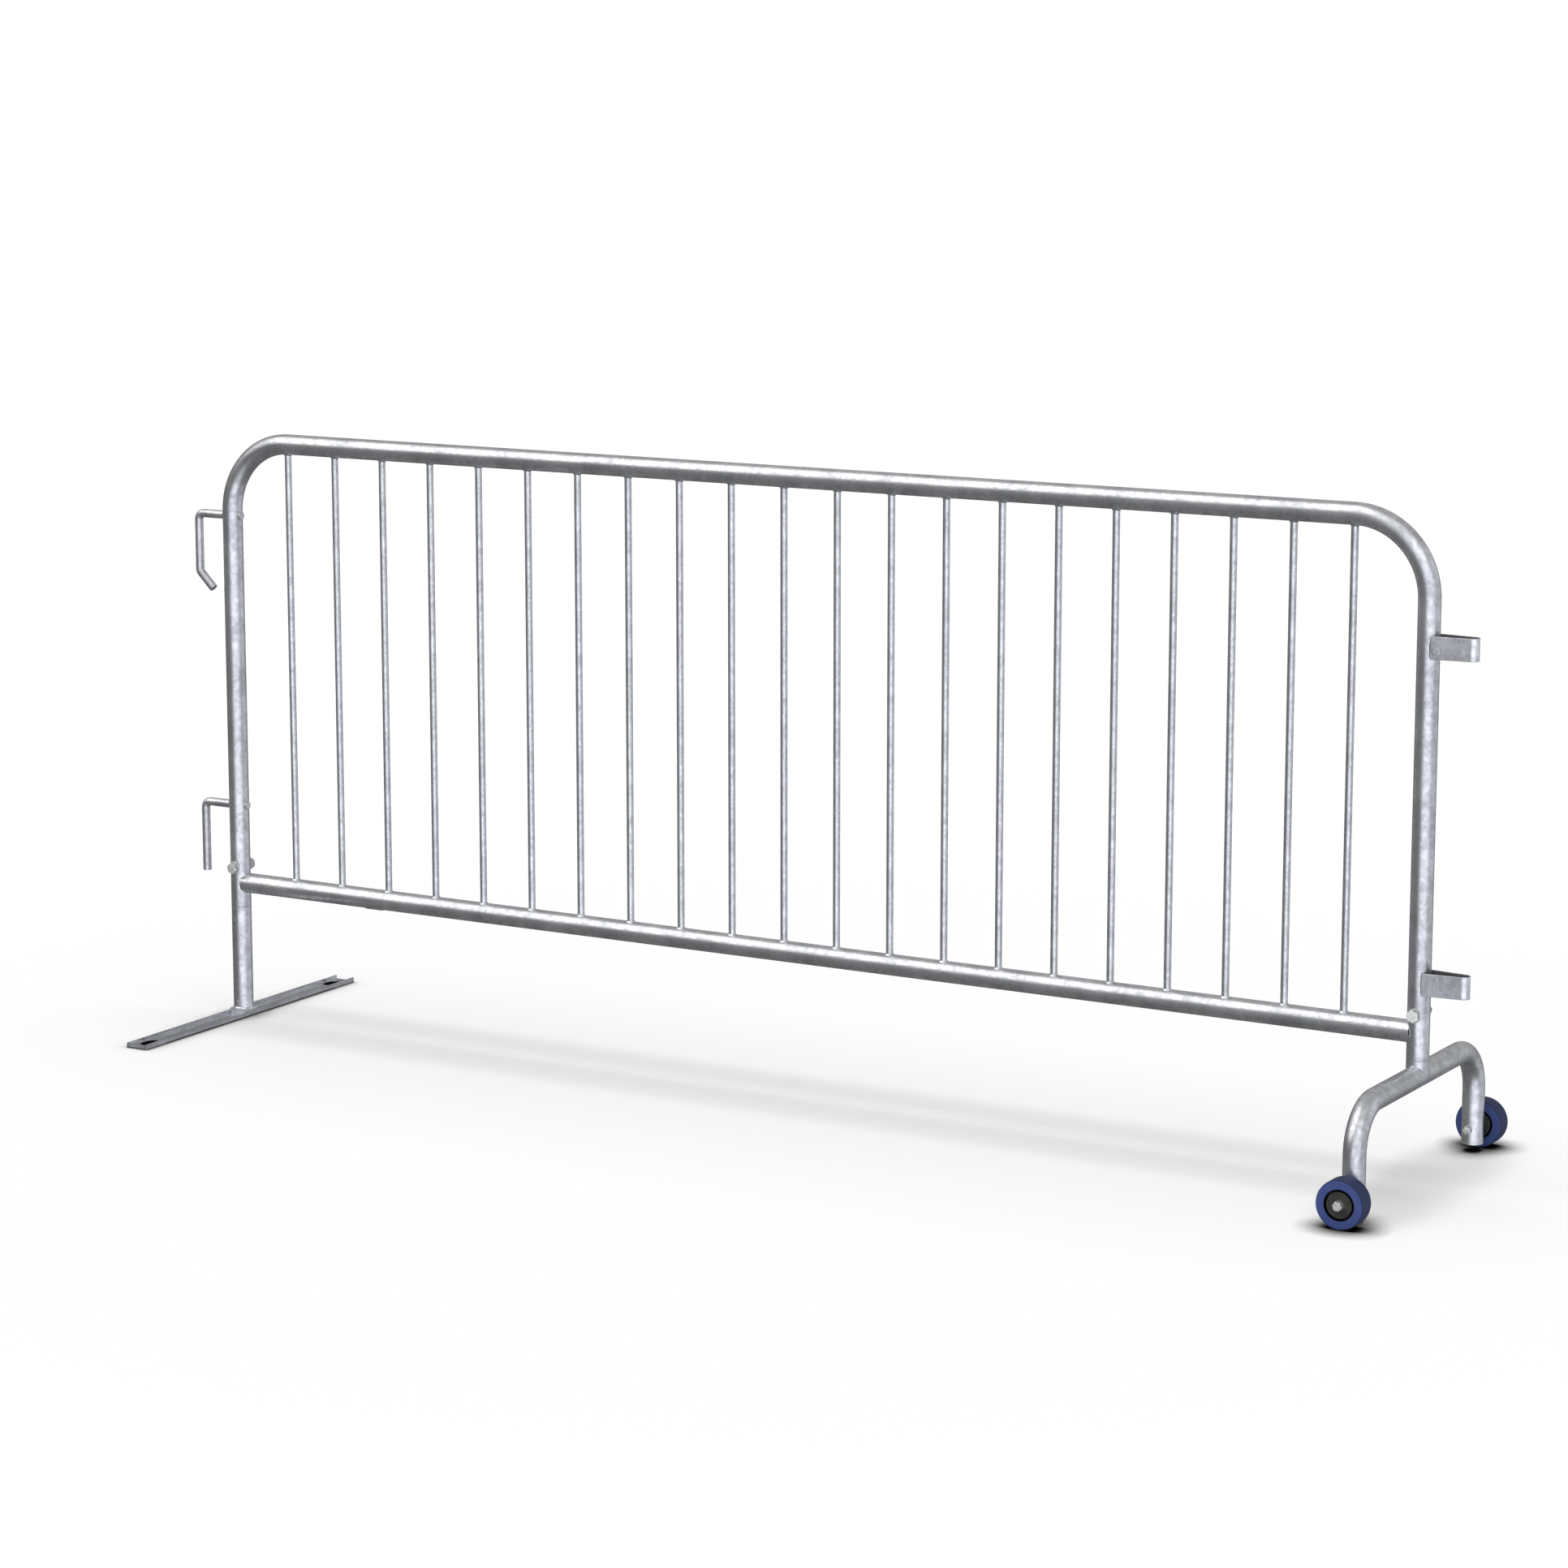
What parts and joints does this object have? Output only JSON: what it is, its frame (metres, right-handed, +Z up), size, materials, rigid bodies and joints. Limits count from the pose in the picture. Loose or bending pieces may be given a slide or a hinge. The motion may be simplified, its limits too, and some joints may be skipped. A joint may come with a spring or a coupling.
{
  "type": "crowd control barrier",
  "caption": "Free-standing galvanised steel barrier panel with vertical bars, linking hooks and loops, one flat foot and one arched foot on wheels.",
  "frame": {"origin": "on the ground at the centre of the plan of the bounding box, midway between the two legs and in the plane of the panel", "axes": "+X runs along the barrier from the hook end on the flat foot to the loop end on the wheeled foot, +Y crosses the panel away from the heads of the lock bolts, +Z is up"},
  "size_m": [2.6022, 0.664, 1.1321],
  "materials": {
    "galvanised_tube": "hot-dip galvanised, cloudy grey with a soft sheen",
    "galvanised_bar": "hot-dip galvanised, smooth",
    "hook_rod": "galvanised round rod",
    "loop_strap": "galvanised flat strap, matt grey",
    "foot_channel": "galvanised plate, dull grey",
    "spigot_tube": "galvanised inner tube",
    "zinc_fastener": "bright zinc plate",
    "wheel_tread": "smooth blue-violet elastomer",
    "wheel_hub": "dark moulded plastic",
    "wheel_bush": "moulded nylon"
  },
  "bodies": {
    "barrier": {"frame_hoop": "galvanised_tube", "bottom_rail": "galvanised_tube", "upright_01": "galvanised_bar", "upright_02": "galvanised_bar", "upright_03": "galvanised_bar", "upright_04": "galvanised_bar", "upright_05": "galvanised_bar", "upright_06": "galvanised_bar", "upright_07": "galvanised_bar", "upright_08": "galvanised_bar", "upright_09": "galvanised_bar", "upright_10": "galvanised_bar", "upright_11": "galvanised_bar", "upright_12": "galvanised_bar", "upright_13": "galvanised_bar", "upright_14": "galvanised_bar", "upright_15": "galvanised_bar", "upright_16": "galvanised_bar", "upright_17": "galvanised_bar", "upright_18": "galvanised_bar", "upright_19": "galvanised_bar", "upright_20": "galvanised_bar", "upright_21": "galvanised_bar", "hook_upper": "hook_rod", "hook_lower": "hook_rod", "loop_upper": "loop_strap", "loop_lower": "loop_strap", "flat_foot_channel": "foot_channel", "flat_foot_seat": "foot_channel", "flat_foot_post": "galvanised_tube", "flat_foot_spigot": "spigot_tube", "flat_foot_bolt": "zinc_fastener", "flat_foot_head_washer": "zinc_fastener", "flat_foot_nut_washer": "zinc_fastener", "flat_foot_nut": "zinc_fastener", "bridge_foot_tube": "galvanised_tube", "bridge_foot_stub": "galvanised_tube", "bridge_foot_spigot": "spigot_tube", "bridge_foot_bolt": "zinc_fastener", "bridge_foot_head_washer": "zinc_fastener", "bridge_foot_nut_washer": "zinc_fastener", "bridge_foot_nut": "zinc_fastener", "front_axle_bolt": "zinc_fastener", "front_axle_head_washer": "zinc_fastener", "front_axle_sleeve": "spigot_tube", "front_axle_spacer": "zinc_fastener", "front_axle_nut_washer": "zinc_fastener", "front_axle_nut": "zinc_fastener", "rear_axle_bolt": "zinc_fastener", "rear_axle_head_washer": "zinc_fastener", "rear_axle_sleeve": "spigot_tube", "rear_axle_spacer": "zinc_fastener", "rear_axle_nut_washer": "zinc_fastener", "rear_axle_nut": "zinc_fastener"},
    "front_wheel": {"front_wheel_tyre": "wheel_tread", "front_wheel_hub": "wheel_hub", "front_wheel_bush": "wheel_bush"},
    "rear_wheel": {"rear_wheel_tyre": "wheel_tread", "rear_wheel_hub": "wheel_hub", "rear_wheel_bush": "wheel_bush"}
  },
  "joints": [
    {"name": "front_wheel_spin", "type": "hinge", "parent": "barrier", "child": "front_wheel", "pos_m": [1.21285, -0.2973, 0.04127], "axis": [0, 1, 0], "continuous": true},
    {"name": "rear_wheel_spin", "type": "hinge", "parent": "barrier", "child": "rear_wheel", "pos_m": [1.21285, 0.2973, 0.04127], "axis": [0, 1, 0], "continuous": true}
  ]
}
